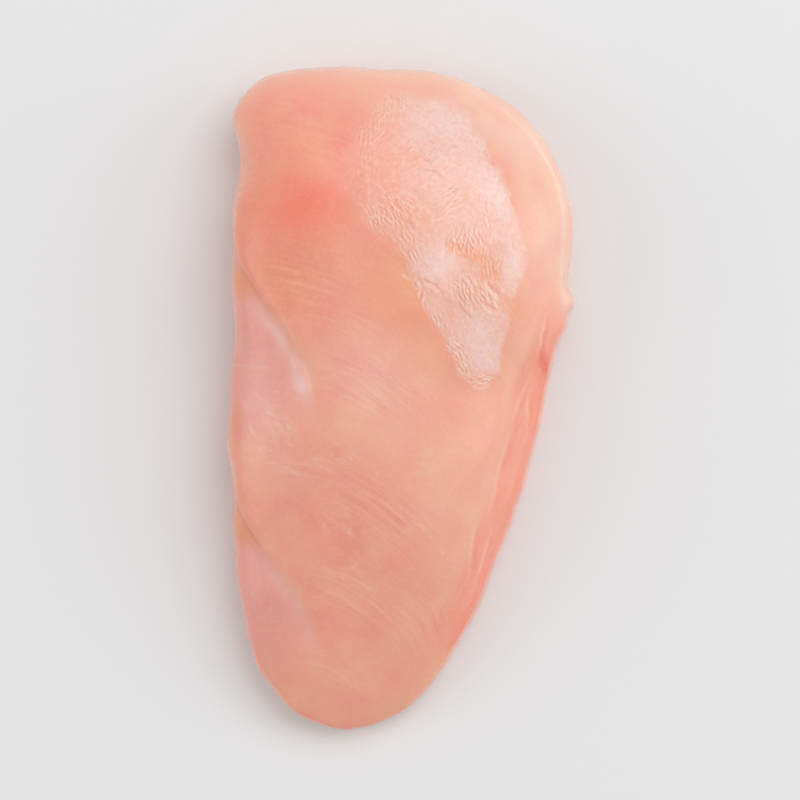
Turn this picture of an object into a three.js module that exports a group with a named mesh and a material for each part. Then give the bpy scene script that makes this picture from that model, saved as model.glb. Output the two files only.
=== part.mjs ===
// A raw chicken breast, boned and skinned, lying on its rib side with the smooth side up.
//
// Millimetres. +Z is up. +Y runs towards the broad shoulder end and -Y towards the tip. -X is the
// long straight edge that was cut from the keel bone, and +X is the thin edge with the rib meat.
// The origin lies on the resting face, under the middle of the whole breast.
//
// The breast is one solid. It starts as a sphere, whose meridians are led out to the breast's
// outline and whose parallels are spread over the domed top, round the rim and under the edge.
// The muscle's swellings, lips and groove are then raised or sunk square to that surface.

import * as THREE from "three";
import { mergeVertices } from "three/addons/utils/BufferGeometryUtils.js";

// Overall size
const LENGTH = 186;
const WIDTH = 96;
const THICKNESS = 34.5;

// The flesh along the length: thickest below the shoulder, thin at the tip
const CREST_Y = 32; // where the breast is thickest
const SHOULDER_FALL = 0.2; // share of the thickness lost at the shoulder end
const TIP_FALL = 0.58; // share of the thickness lost at the tip
const TIP_FALL_POWER = 1.7;
const RIB_FALL = 0.07; // share of the thickness lost at the rib edge, and gained at the keel edge

// The rim is the widest line. It lies high on the thick keel side and low on the thin rib side,
// and it rises and dips a little on its way round.
const KEEL_RIM = 0.43; // its height there, as a share of the flesh above the table
const RIB_RIM = 0.27;
const RIM_FALL = { from: -0.6, to: 0.9 }; // where it falls, with -1 towards the keel and 1 towards the ribs
const RIM_WAVES = [
  { turns: 3, phase: 0.6, share: 0.09 },
  { turns: 7, phase: 2.1, share: 0.06 },
];
const TUCK_SHARE = 0.75; // how far the edge tucks under, as a share of the rim's height

// The dome's roundness: 2 is an ellipse, more is boxier
const RIB_ROUNDNESS = 2.15;
const KEEL_ROUNDNESS = 2.5;
const END_ROUNDNESS = 3.7;

// The power with which the dome falls to the rim: 0.5 is a bluff wall, more is a thinner edge
const WALL_POWER = 0.5;
const RIB_POWER = 0.66;

// How finely the surface is divided
const SEGMENTS = 124;
const TOP_RINGS = 28;
const TUCK_RINGS = 9;
const RINGS = TOP_RINGS + TUCK_RINGS + 1; // the last ring is the middle of the resting face

// The middle that the meridians start from
const MIDDLE = new THREE.Vector2(-3, 6);

// The outline seen from above, counterclockwise from the rib side. Each point is given as shares
// of half the width and half the length.
const OUTLINE = [
  [0.965, 0.33],
  [0.995, 0.55],
  [0.935, 0.69],
  [0.79, 0.81],
  [0.59, 0.91],
  [0.33, 0.977],
  [0.0, 1.003],
  [-0.35, 1.0], // the flat top of the shoulder end
  [-0.75, 0.977],
  [-0.965, 0.88], // the shoulder's corner
  [-0.975, 0.68],
  [-1.01, 0.46],
  [-0.985, 0.22], // the long keel edge
  [-1.015, -0.03],
  [-1.01, -0.22],
  [-0.965, -0.54],
  [-0.84, -0.79],
  [-0.59, -0.95],
  [-0.28, -1.0], // the tip
  [0.05, -0.925],
  [0.33, -0.745],
  [0.51, -0.545],
  [0.683, -0.31],
  [0.818, -0.11],
  [0.88, 0.06],
  [0.94, 0.18],
];

// Where the muscle swells or sinks: a middle, a radius and a height
const SWELLINGS = [
  { x: 16, y: 46, radius: 30, height: 1.8 }, // the shoulder's mound
  { x: -24, y: 70, radius: 20, height: 1.2 }, // the shoulder's corner
  { x: -12, y: 28, radius: 22, height: -1.0 }, // the shallow dip between them
  { x: 8, y: -34, radius: 26, height: 1.5 }, // the belly above the tip
  { x: 31, y: 0, radius: 15, height: -1.2 }, // where the rib meat begins
  { x: -46, y: 67, radius: 10, height: -3 }, // the nick below the corner
  { x: 48, y: 27, radius: 4.2, height: 2.7 }, // the small peak of rib meat
  { x: 46, y: 14, radius: 7, height: -0.6 }, // the waist below the peak
];

// Where the thick muscle ends in a lip over the thin sheet at the keel edge. Each lip runs from
// one point to another. Its line bows outwards, and it sways outwards first and then back. The
// sheet beside it lies lower and rises again further on.
const LIPS = [
  { from: [-48.5, 52], to: [-24.5, 0], bow: 0.8, sway: 2.1, drop: 2.2, recovery: 17 },
  { from: [-48.3, -18], to: [-24, -66], bow: 1.3, sway: 2.1, drop: 1.8, recovery: 13 },
];
const LIP_WIDTH = 6; // across the slope of a lip
const LIP_END = 0.25; // share of a lip over which it dies away

// The strip of rib meat down the thin edge, set off by a groove
const STRIP = { inside: 8, from: 24, to: -80, depth: 1.2, width: 3, fade: 18 };

// The fold in the keel side and round the shoulder, where the muscle sags over its own foot
const FOLD = { from: -70, height: 7.5, sway: 1.8, turn: 15, depth: 1.5, width: 2.3, fade: 22 };

const RELIEF_FREE = 3; // height above the table below which nothing is raised or sunk

const smooth = (low, high, value) => THREE.MathUtils.smoothstep(value, low, high);

// The breast's edge as a closed curve
function outlineCurve() {
  const points = OUTLINE.map(
    ([across, along]) => new THREE.Vector3((across * WIDTH) / 2, (along * LENGTH) / 2, 0),
  );
  return new THREE.CatmullRomCurve3(points, true, "centripetal");
}

// How high the flesh would stand at a point if it didn't fall to the edges
function fleshHeight(x, y) {
  const across = THICKNESS * (1 - (RIB_FALL * x) / (WIDTH / 2));
  const towardsShoulder = (y - CREST_Y) / (LENGTH / 2 - CREST_Y);
  const towardsTip = (CREST_Y - y) / (LENGTH / 2 + CREST_Y);
  return y > CREST_Y
    ? across * (1 - SHOULDER_FALL * towardsShoulder ** 2)
    : across * (1 - TIP_FALL * towardsTip ** TIP_FALL_POWER);
}

// One meridian: where it meets the outline and how the dome falls along it
function meridian(edge) {
  const reach = new THREE.Vector2(edge.x - MIDDLE.x, edge.y - MIDDLE.y);
  const towardsRib = reach.x / reach.length();
  const [roundness, power] = reach.x > 0 ? [RIB_ROUNDNESS, RIB_POWER] : [KEEL_ROUNDNESS, WALL_POWER];
  const fallen = smooth(RIM_FALL.from, RIM_FALL.to, towardsRib);
  const rimShare = THREE.MathUtils.lerp(KEEL_RIM, RIB_RIM, fallen);
  const wave = RIM_WAVES.reduce((sum, w) => sum + w.share * Math.sin(w.turns * reach.angle() + w.phase), 0);
  return {
    edge,
    reach: reach.length(),
    rim: rimShare * (1 + wave) * fleshHeight(edge.x, edge.y),
    roundness: THREE.MathUtils.lerp(END_ROUNDNESS, roundness, towardsRib ** 2),
    power: THREE.MathUtils.lerp(WALL_POWER, power, towardsRib ** 2),
  };
}

// A point of the domed top, at a share of the way from the middle to the edge
function topPoint(m, share) {
  const x = THREE.MathUtils.lerp(MIDDLE.x, m.edge.x, share);
  const y = THREE.MathUtils.lerp(MIDDLE.y, m.edge.y, share);
  const dome = (1 - share ** m.roundness) ** m.power;
  return [x, y, m.rim + (fleshHeight(x, y) - m.rim) * dome];
}

// A point of the edge that tucks under, from the rim at turn 0 to the resting face at turn 1
function tuckPoint(m, turn) {
  const angle = (turn * Math.PI) / 2;
  const inwards = (TUCK_SHARE * m.rim * (1 - Math.cos(angle))) / m.reach;
  const x = THREE.MathUtils.lerp(m.edge.x, MIDDLE.x, inwards);
  const y = THREE.MathUtils.lerp(m.edge.y, MIDDLE.y, inwards);
  return [x, y, m.rim * (1 - Math.sin(angle))];
}

// The point of a meridian at a ring, counted from the middle of the top
function surfacePoint(m, ring) {
  if (ring === RINGS) return [MIDDLE.x, MIDDLE.y, 0];
  if (ring > TOP_RINGS) return tuckPoint(m, (ring - TOP_RINGS) / TUCK_RINGS);
  return topPoint(m, 1 - (1 - ring / TOP_RINGS) ** 2); // rings crowd towards the rim
}

// All swellings together at a point
function swelling(x, y) {
  return SWELLINGS.reduce((sum, s) => {
    const away = Math.hypot(x - s.x, y - s.y) / s.radius;
    return sum + s.height * Math.exp(-away * away);
  }, 0);
}

// How far the sheets beside the lips lie below the muscle
function lipDrop(x, y) {
  return LIPS.reduce((sum, lip) => {
    const alongX = lip.to[0] - lip.from[0];
    const alongY = lip.to[1] - lip.from[1];
    const length = Math.hypot(alongX, alongY);
    const share = ((x - lip.from[0]) * alongX + (y - lip.from[1]) * alongY) / length ** 2;
    const straight = ((x - lip.from[0]) * alongY - (y - lip.from[1]) * alongX) / length;
    const halfTurn = Math.PI * THREE.MathUtils.clamp(share, 0, 1);
    const past = straight - lip.bow * Math.sin(halfTurn) - lip.sway * Math.sin(2 * halfTurn);
    const ends = smooth(-LIP_END, 0, share) * (1 - smooth(1 - LIP_END, 1 + LIP_END, share));
    const step = smooth(-LIP_WIDTH / 2, LIP_WIDTH / 2, past);
    return sum + lip.drop * ends * step * Math.exp(-Math.max(past, 0) / lip.recovery);
  }, 0);
}

// How deep the groove beside the strip of rib meat is, at a distance inside the outline
function stripDrop(x, y, inside) {
  const started = 1 - smooth(STRIP.from - STRIP.fade, STRIP.from, y);
  const lasting = smooth(STRIP.to, STRIP.to + STRIP.fade, y);
  const away = (inside - STRIP.inside) / STRIP.width;
  return x > 0 ? STRIP.depth * started * lasting * Math.exp(-away * away) : 0;
}

// How deep the fold in the keel side is
function foldDrop(x, y, z) {
  const started = smooth(FOLD.from, FOLD.from + FOLD.fade, y);
  const lasting = 1 - smooth(0, FOLD.fade, x);
  const away = (z - FOLD.height - FOLD.sway * Math.sin(y / FOLD.turn)) / FOLD.width;
  return FOLD.depth * started * lasting * Math.exp(-away * away);
}

// Raises and sinks the surface square to itself, and leaves the resting face flat
function addRelief(geometry, outline) {
  const rim = outline.getSpacedPoints(SEGMENTS);
  const { position, normal } = geometry.attributes;
  const at = new THREE.Vector3();
  const out = new THREE.Vector3();
  for (let i = 0; i < position.count; i += 1) {
    at.fromBufferAttribute(position, i);
    out.fromBufferAttribute(normal, i);
    const inside = Math.min(...rim.map((p) => Math.hypot(p.x - at.x, p.y - at.y)));
    const raised = swelling(at.x, at.y);
    const sunk = lipDrop(at.x, at.y) + stripDrop(at.x, at.y, inside) + foldDrop(at.x, at.y, at.z);
    at.addScaledVector(out, (raised - sunk) * smooth(0, RELIEF_FREE, at.z));
    position.setXYZ(i, at.x, at.y, at.z);
  }
}

// The breast as one closed mesh, standing on the origin
function breastGeometry() {
  const outline = outlineCurve();
  const meridians = [];
  for (let i = 0; i < SEGMENTS; i += 1) {
    meridians.push(meridian(outline.getPointAt(i / SEGMENTS)));
  }

  const sphere = new THREE.SphereGeometry(1, SEGMENTS, RINGS);
  const { position, uv } = sphere.attributes;
  for (let i = 0; i < position.count; i += 1) {
    const segment = Math.round(uv.getX(i) * SEGMENTS) % SEGMENTS;
    const ring = Math.round((1 - uv.getY(i)) * RINGS);
    position.setXYZ(i, ...surfacePoint(meridians[segment], ring));
  }
  sphere.deleteAttribute("normal");
  sphere.deleteAttribute("uv");

  const breast = mergeVertices(sphere, 1e-3);
  breast.computeVertexNormals();
  addRelief(breast, outline);
  breast.computeBoundingBox();
  const { min, max } = breast.boundingBox;
  breast.translate(-(min.x + max.x) / 2, -(min.y + max.y) / 2, -min.z);
  breast.computeVertexNormals();
  return breast;
}

// Moist raw meat
function meatMaterial() {
  return new THREE.MeshStandardMaterial({ color: 0xeea58a, roughness: 0.35, metalness: 0 });
}

const breast = new THREE.Mesh(breastGeometry(), meatMaterial());
breast.name = "chicken_breast";

const group = new THREE.Group();
group.add(breast);

export default group;
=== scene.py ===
# %% [markdown]
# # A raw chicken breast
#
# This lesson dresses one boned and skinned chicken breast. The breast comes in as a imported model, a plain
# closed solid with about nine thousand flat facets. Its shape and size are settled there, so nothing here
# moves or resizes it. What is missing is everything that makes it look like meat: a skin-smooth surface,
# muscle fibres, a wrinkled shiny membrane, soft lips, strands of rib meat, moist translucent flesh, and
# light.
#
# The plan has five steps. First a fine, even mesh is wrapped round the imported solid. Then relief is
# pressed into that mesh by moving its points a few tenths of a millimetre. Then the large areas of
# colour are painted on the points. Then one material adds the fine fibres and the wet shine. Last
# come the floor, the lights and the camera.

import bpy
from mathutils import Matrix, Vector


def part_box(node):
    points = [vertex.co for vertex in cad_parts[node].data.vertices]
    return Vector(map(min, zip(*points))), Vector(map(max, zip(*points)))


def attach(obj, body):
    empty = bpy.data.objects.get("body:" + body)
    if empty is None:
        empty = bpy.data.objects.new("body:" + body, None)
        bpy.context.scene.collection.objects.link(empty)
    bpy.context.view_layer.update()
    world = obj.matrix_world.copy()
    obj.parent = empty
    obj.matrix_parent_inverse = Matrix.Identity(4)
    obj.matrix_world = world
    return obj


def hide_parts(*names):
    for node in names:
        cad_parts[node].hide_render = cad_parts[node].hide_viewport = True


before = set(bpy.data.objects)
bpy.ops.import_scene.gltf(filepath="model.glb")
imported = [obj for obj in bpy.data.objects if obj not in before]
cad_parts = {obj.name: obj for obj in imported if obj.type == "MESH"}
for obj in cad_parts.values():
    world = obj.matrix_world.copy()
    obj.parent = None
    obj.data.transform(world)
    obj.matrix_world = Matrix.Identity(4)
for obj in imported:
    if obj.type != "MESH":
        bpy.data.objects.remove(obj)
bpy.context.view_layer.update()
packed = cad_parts["chicken_breast"]
print("packed solid:", len(packed.data.polygons), "facets")

# %% Units and the breast's own size
import math
from collections import namedtuple

import bmesh
import bpy
import numpy as np
from mathutils import Vector, noise

MM = 0.001  # Blender works in metres, and meat is easier to think about in millimetres
low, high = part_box("chicken_breast")
WIDTH = (high.x - low.x) / MM
LENGTH = (high.y - low.y) / MM
THICKNESS = (high.z - low.z) / MM
print(f"the breast is {WIDTH:.0f} x {LENGTH:.0f} x {THICKNESS:.0f} mm")

# %% [markdown]
# ## A smooth form out of flat facets
#
# Meat has no facets. A subdivision surface rounds a mesh off, but it needs quads that share their
# corners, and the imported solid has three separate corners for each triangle. So a copy is made, its
# corners are merged and its triangles paired up. The underside has to stay flat, so the edges round
# it get a full crease.

# %% Round the facets off
ROUNDING = 3  # each level splits every quad in four


def into_scene(name, data):
    """A new object with this mesh, lamp or camera in it."""
    made = bpy.data.objects.new(name, data)
    bpy.context.scene.collection.objects.link(made)
    return made


def smooth_form():
    mesh = packed.data.copy()
    bm = bmesh.new()
    bm.from_mesh(mesh)
    bmesh.ops.remove_doubles(bm, verts=bm.verts[:], dist=0.001 * MM)
    bmesh.ops.join_triangles(
        bm, faces=bm.faces[:], angle_face_threshold=math.radians(40), angle_shape_threshold=math.radians(120)
    )
    crease = bm.edges.layers.float.new("crease_edge")
    for edge in bm.edges:
        on_floor = [max(v.co.z for v in face.verts) < 0.01 * MM for face in edge.link_faces]
        if on_floor.count(True) == 1:
            edge[crease] = 1.0
    bm.to_mesh(mesh)
    bm.free()
    form = into_scene("smooth_form", mesh)
    form.modifiers.new("rounding", "SUBSURF").levels = ROUNDING
    return form


form = smooth_form()
print("quads to round off:", len(form.data.polygons))

# %% [markdown]
# ## An even mesh to press the relief into
#
# The rounded form's quads are long in some places and crowded in others. Relief wants even ones. A
# voxel remesh gives them: it fills the form with small cubes and wraps quads of that size round
# them, as sculptors do before they add detail. The new mesh is a little rough, so its points are
# drawn back onto the smooth form later on.

# %% Wrap an even mesh round the form
GRAIN = 1.12 * MM  # size of the even quads


def applied(thing):
    """The thing's mesh with its modifiers applied."""
    bpy.context.view_layer.update()
    seen = thing.evaluated_get(bpy.context.evaluated_depsgraph_get())
    return bpy.data.meshes.new_from_object(seen)


def even_mesh():
    rounded = into_scene("even", applied(form))
    remesh = rounded.modifiers.new("even quads", "REMESH")
    remesh.mode = "VOXEL"
    remesh.voxel_size = GRAIN
    rounded.data = applied(rounded)
    rounded.modifiers.clear()
    return rounded


breast = even_mesh()
breast.name = "raw_chicken_breast"
print("even quads:", len(breast.data.polygons))

# %% [markdown]
# Nobody sees the flat underside up close, so its quads are thinned out, which leaves more of them
# for the top. The decimate modifier does that, held to a group of points by their weight.

# %% Thin out the underside
UNDERSIDE_KEPT = 900  # points left on the underside


def thin_underside():
    flat = [v.index for v in breast.data.vertices if v.co.z < 0.05 * MM]
    breast.vertex_groups.new(name="underside").add(flat, 1.0, "REPLACE")
    everything = len(breast.data.vertices)
    thin = breast.modifiers.new("thin", "DECIMATE")
    thin.vertex_group = "underside"
    thin.ratio = 1 - (len(flat) - UNDERSIDE_KEPT) / everything
    breast.data = applied(breast)
    breast.modifiers.clear()
    breast.vertex_groups.clear()
    print("underside thinned from", len(flat), "points; all points:", len(breast.data.vertices))


thin_underside()

# %% [markdown]
# ## Where things are
#
# The finer parts of the surface, the wrinkled membrane above all, need smaller quads than the plain
# muscle. So first comes where things are, in millimetres from the middle of the breast, with X
# across it and Y towards the shoulder.
#
# The silverskin is the thin shiny membrane over the upper part of the breast. Its edge is a closed
# curve through a few points. Blender's noise makes it ragged later on.

# %% The silverskin's edge
SILVERSKIN_EDGE = [
    (-11, 70), (-9.5, 79), (-5, 84), (4, 84), (13, 81), (20, 77), (24, 68), (28.5, 60), (31.5, 50), (34, 43),
    (34, 33), (30, 26), (29, 17), (26, 6), (22, 3), (17, 7), (11, 18), (4, 30), (0, 40), (-9, 48), (-13, 57),
    (-13, 64),
]


def closed_curve(corners, steps=8):
    """Points along a smooth closed curve through the corners."""
    corners = np.array(corners, float)
    before, here = np.roll(corners, 1, 0), corners
    after, beyond = np.roll(corners, -1, 0), np.roll(corners, -2, 0)
    found = []
    for t in np.arange(steps) / steps:
        found.append(0.5 * (2 * here + (after - before) * t
                            + (2 * before - 5 * here + 4 * after - beyond) * t ** 2
                            + (3 * here - before - 3 * after + beyond) * t ** 3))
    return np.stack(found, 1).reshape(-1, 2)


def depth_inside(spots, ring):
    """How far each spot lies inside a ring of points, in mm. Outside it the number is negative."""
    x, y = spots[:, 0], spots[:, 1]
    nearest = np.full(len(spots), np.inf)
    inside = np.zeros(len(spots), bool)
    for (ax, ay), (bx, by) in zip(ring, np.roll(ring, -1, 0)):
        ex, ey = bx - ax, by - ay
        share = np.clip(((x - ax) * ex + (y - ay) * ey) / (ex * ex + ey * ey), 0, 1)
        nearest = np.minimum(nearest, np.hypot(x - ax - share * ex, y - ay - share * ey))
        crosses = (ay > y) != (by > y)
        if ey:
            inside ^= crosses & (x < ax + (y - ay) * ex / ey)
    return np.where(inside, nearest, -nearest)


silverskin_ring = closed_curve(SILVERSKIN_EDGE)
print("silverskin edge:", len(silverskin_ring), "points")

# %% [markdown]
# At the keel edge, on the left, the thick muscle ends in two lips over a thinner sheet. Each lip is
# a line that bows outwards and sways. One function gives, for any spot, how far it lies past the lip
# and how far along it, because a lip fades out at both ends. Two numbers from 0 to 1 say how much tan
# fat lies in the lip's upper corner, and how milky its lower half is.

# %% The lips
Lip = namedtuple("Lip", "start end bow sway fatty milky")
LIPS = [
    Lip((-48.5, 52), (-24.5, 0), bow=0.8, sway=2.1, fatty=1.0, milky=1.0),
    Lip((-48.3, -18), (-24, -66), bow=1.3, sway=2.1, fatty=0.9, milky=0.6),
]


def ease(lowest, highest, value):
    """0 up to lowest, 1 from highest, and a smooth slope between them. lowest may be the larger one."""
    t = np.clip((value - lowest) / (highest - lowest), 0, 1)
    return t * t * (3 - 2 * t)


def beside(spots, start, end):
    """(mm to one side of a straight line, share of the way along it) for each spot."""
    x, y = spots[:, 0] - start[0], spots[:, 1] - start[1]
    run_x, run_y = end[0] - start[0], end[1] - start[1]
    length = math.hypot(run_x, run_y)
    return (x * run_y - y * run_x) / length, (x * run_x + y * run_y) / length ** 2


def past_lip(spots, lip):
    """(mm past the lip, share of the way along it) for each spot."""
    straight, share = beside(spots, lip.start, lip.end)
    half_turn = math.pi * np.clip(share, 0, 1)
    return straight - lip.bow * np.sin(half_turn) - lip.sway * np.sin(2 * half_turn), share


print("lips:", [round(math.dist(lip.start, lip.end)) for lip in LIPS], "mm long")

# %% [markdown]
# The breast's outline seen from above comes from the mesh itself: in each direction from the middle,
# the farthest point. The strip of rib meat down the right-hand edge is measured from that outline.

# %% The outline
MIDDLE = np.array([-3.0, 6.0])
DIRECTIONS = 240


def for_each_point(mesh, what):
    """Three numbers for each of the mesh's points, as an array."""
    flat = np.empty(len(mesh.vertices) * 3)
    mesh.vertices.foreach_get(what, flat)
    return flat.reshape(-1, 3)


def outline_of(spots):
    away = spots[:, :2] - MIDDLE
    turn = np.round(np.arctan2(away[:, 1], away[:, 0]) / (2 * math.pi) * DIRECTIONS) % DIRECTIONS
    reach = np.hypot(away[:, 0], away[:, 1])
    farthest = [np.flatnonzero(turn == i)[reach[turn == i].argmax()] for i in range(DIRECTIONS)]
    return spots[farthest, :2]


outline = outline_of(for_each_point(breast.data, "co") / MM)
print("outline:", np.round(outline.min(0)), "to", np.round(outline.max(0)), "mm")

# %% [markdown]
# ## Smaller quads where the detail is
#
# Each round of splitting turns one quad into four. The lips, the thin sheet below the upper one, the
# rib meat and the thin rim are split once. The membrane is split twice, because its ripples are only
# a millimetre apart.

# %% Where the membrane crinkles
# A patch has its middle, its half-length and half-width, the way its ripples run in degrees, and a
# strength.
Crinkle = namedtuple("Crinkle", "x y long wide run strong")
CRINKLES = [Crinkle(*row) for row in [
    (-7.5, 73.5, 9, 4, 66, 0.5), (-1, 81.5, 3.5, 5, 110, 0.48), (6, 72, 8, 6, 40, 0.26),
    (-2.5, 51, 5, 6, 120, 1.0), (-7.5, 51.5, 4.5, 2.6, 98, 0.4), (2.5, 42, 7, 2.8, 115, 0.75),
    (18, 43.5, 3.6, 6, 100, 1.0), (25, 38, 5, 3.5, 94, 0.7), (18.5, 30, 6, 4, 112, 1.0),
    (23, 27.5, 5, 3.5, 132, 0.7), (14, 55, 7, 5, 28, 0.45), (24, 49, 6, 4.5, 93, 0.4),
    (5.5, 29, 6, 2.6, 104, 0.75), (10.5, 20, 6, 2.6, 108, 0.75), (15.5, 13, 7, 3.6, 122, 1.0),
    (22, 5.5, 4.5, 1.8, 2, 0.9),
]]


def oval(dx, dy, long, wide, turn):
    """1 in the middle of an oval and falling softly round it. dx and dy lead there from its middle."""
    angle = math.radians(turn)
    lengthwise = (dx * math.cos(angle) + dy * math.sin(angle)) / long
    crosswise = (dy * math.cos(angle) - dx * math.sin(angle)) / wide
    return np.exp(-(lengthwise ** 2 + crosswise ** 2))


def crinkle_strength(spots, patch):
    dx, dy = spots[:, 0] - patch.x, spots[:, 1] - patch.y
    return patch.strong * oval(dx, dy, patch.long, patch.wide, patch.run)


# %% Split the quads there
TOP_ONLY = 4  # mm above the floor: what lies lower is never split


def split_quads(wanted):
    """Splits in four each quad whose middle is wanted."""
    bm = bmesh.new()
    bm.from_mesh(breast.data)
    middles = np.array([face.calc_center_median() for face in bm.faces]) / MM
    chosen = wanted(middles)
    edges = {edge for face, yes in zip(bm.faces, chosen) if yes for edge in face.edges}
    bmesh.ops.subdivide_edges(bm, edges=list(edges), cuts=1, use_grid_fill=True)
    bm.to_mesh(breast.data)
    bm.free()
    print("split", int(chosen.sum()), "quads; all faces:", len(breast.data.polygons))


def detailed(spots):
    x, y, z = spots.T
    to_rim = depth_inside(spots, outline)
    by_lip = np.zeros(len(spots), bool)
    for lip in LIPS:
        past, share = past_lip(spots, lip)
        by_lip |= (past > -3) & (past < 5) & (share > -0.1) & (share < 1.05)
    membrane = depth_inside(spots, silverskin_ring) > -3
    rib_meat = (to_rim < 9) & (x > 12) & (y < 30)
    rim = (to_rim < 5) & (x > 24) & (y > 24)
    sheet = (abs(x + 36) < 10) & (abs(y + 5) < 16)
    return (membrane | by_lip | sheet | rib_meat | rim) & (z > TOP_ONLY)


def on_silverskin(spots):
    return (depth_inside(spots, silverskin_ring) > -1.5) & (spots[:, 2] > TOP_ONLY)


split_quads(detailed)
split_quads(on_silverskin)

# %% Draw the points back onto the smooth form
def cling_to_form():
    cling = breast.modifiers.new("cling", "SHRINKWRAP")
    cling.target = form
    cling.wrap_method = "NEAREST_SURFACEPOINT"
    breast.data = applied(breast)
    breast.modifiers.clear()
    bpy.data.objects.remove(form)


cling_to_form()
triangles = sum(face.loop_total - 2 for face in breast.data.polygons)
print("points:", len(breast.data.vertices), "and as triangles:", triangles)

# %% [markdown]
# ## Reading the surface as numbers
#
# From here on the mesh is two arrays: where each point is, and which way the surface faces there.
# All the relief is a height for each point, pushed out along that direction. NumPy works on all
# the points at once, which is far quicker than a loop over them.

# %% Points and directions
points = for_each_point(breast.data, "co") / MM
facing = for_each_point(breast.data, "normal")
up = facing[:, 2]  # 1 where the surface faces up, 0 where it is upright
X, Y, Z = points.T
above_floor = ease(0.3, 3.0, Z)  # relief dies away here, so that the underside stays flat
print(f"surface: {len(points)} points, {(up > 0.5).mean():.0%} of them facing up")

# %% [markdown]
# Nature is uneven in an even way, and Blender's noise is just that. It is a smooth field of hills
# and hollows. Stretched along one direction it gives fibres, and cut off below some height it gives
# patches that come and go.

# %% Noise over the whole surface
def hills(size, seed, at=None):
    """Smooth hills and hollows, from about -1 to 1. size is their width in mm, one or three numbers."""
    spots = (points if at is None else at) / np.array(size, float) + seed * np.array([7.3, 3.1, 5.7])
    return np.array([noise.noise(spot) for spot in spots.tolist()])


# %% [markdown]
# ## The run of the muscle
#
# A breast muscle is a fan of fibres. Here they start level at the keel edge and turn down towards
# the rib side. Two coordinates describe them: across the fibres and along them. Anything drawn
# with hills that are short across and long along looks like meat. On the sides the fibres lean
# forwards as they run down, so the height counts too, and most of all low down.

# %% Coordinates that follow the fibres
FIBRE_SLOPE_LEFT, FIBRE_SLOPE_MIDDLE, FIBRE_SLOPE_RIGHT = np.radians([8, 25, 43])
FIBRE_LEAN = 0.35  # mm forwards for each mm down
SIDE_LEAN = 0.7  # and this much more on the sides
SIDE_TOP = 18  # mm above the floor


def fibre_coordinates():
    table_x = np.linspace(-WIDTH / 2 - 5, WIDTH / 2 + 5, 400)
    turned = ease(-45, 18, table_x)
    slope = np.tan(FIBRE_SLOPE_LEFT + (FIBRE_SLOPE_RIGHT - FIBRE_SLOPE_LEFT) * turned)
    fallen = np.concatenate([[0], np.cumsum((slope[1:] + slope[:-1]) / 2 * np.diff(table_x))])
    lean = FIBRE_LEAN * (THICKNESS - Z) + SIDE_LEAN * np.maximum(SIDE_TOP - Z, 0)
    across = Y + np.interp(X, table_x, fallen) + lean + 1.2 * hills(30, 1)
    along = X * math.cos(FIBRE_SLOPE_MIDDLE) - Y * math.sin(FIBRE_SLOPE_MIDDLE)
    return along, across


along, across = fibre_coordinates()
fibre_space = np.column_stack([along, across, Z])
print("fibres run", np.round(np.ptp(across)), "mm across")

# %% [markdown]
# ## Masks
#
# A mask is a number from 0 to 1 at each point that says how much of something is there. The same
# mask later drives relief, colour and shine, so that all three agree.

# %% Membrane, lips, sheets and rib meat
def bell(distance, wide):
    """1 at no distance, falling softly to 0 at about twice the width."""
    return np.exp(-(distance / wide) ** 2)


def membrane_mask():
    depth = depth_inside(points, silverskin_ring) + 1.3 * hills(6, 2) + 0.8 * hills(2.4, 3)
    blur = 0.9 + 3.6 * ease(44, 60, Y) * ease(10, -6, X)  # it fades out softly at the upper left
    blur = blur + 1.1 * ease(54, 66, Y) * ease(8, 16, X)  # and a little less so at the upper right
    return ease(-blur, blur, depth) * ease(4, 8, Z), depth


def sheet_masks():
    """Past each lip lies a thin sheet. Gives the sheets, the step down to them, and a line along the lips."""
    found = dict.fromkeys(["sheet", "wedge", "band", "line", "step"], np.zeros(len(points)))
    for lip in LIPS:
        past, share = past_lip(points, lip)
        past = past + 0.4 + 0.6 * hills(9, 4) + 0.5 * np.maximum(16 - Z, 0)  # it leans over on its way down
        lip_long = ease(-0.3, 0.08, share) * (1 - ease(0.85, 1.2, share)) * ease(3, 10, Z)
        above_side = ease(-0.2, 0.05, share) * ease(3, 15, Z)
        fat = lip.fatty * above_side * (1 - ease(0.37, 0.47, share))
        layers = {
            "sheet": lip_long * ease(-0.4, 2.0, past),
            "wedge": fat * ease(-0.3, 0.4, past) * ease(7, 3, past),
            "band": lip.milky * lip_long * ease(0.3, 0.7, share) * bell(past - 1.9, 2.6),
            "line": above_side * (1 - ease(0.3, 0.6, share)) * bell(past, 0.45),
            "step": lip_long * ease(-1.2, 1.4, past) * np.exp(-np.maximum(past, 0) / 9),
        }
        found = {name: np.maximum(found[name], value) for name, value in layers.items()}
    return found


def rib_meat_mask():
    started = 1 - ease(22, 36, Y)
    lasting = ease(-LENGTH / 2 + 4, -LENGTH / 2 + 26, Y)
    inside = rim_depth + 0.9 * hills(12, 5)
    return started * lasting * (1 - ease(5.0, 10.5, inside)) * ease(10, 16, X)


rim_depth = depth_inside(points, outline)
on_side = ease(0.75, 0.35, up)
membrane, membrane_depth = membrane_mask()
lip_masks = sheet_masks()
rib_meat = rib_meat_mask()
print(f"membrane over {membrane.mean():.0%} of the points, rib meat over {rib_meat.mean():.0%}")

# %% [markdown]
# ## Relief
#
# Each function below gives one kind of relief, in millimetres. They add up. It is quick to try one
# alone: set the others to zero and render.

# %% Soft lumps and muscle fibres
def lumps():
    return (0.45 * hills(17, 11) + 0.22 * hills(7.5, 12)) * (1 + 0.8 * on_side)


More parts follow.
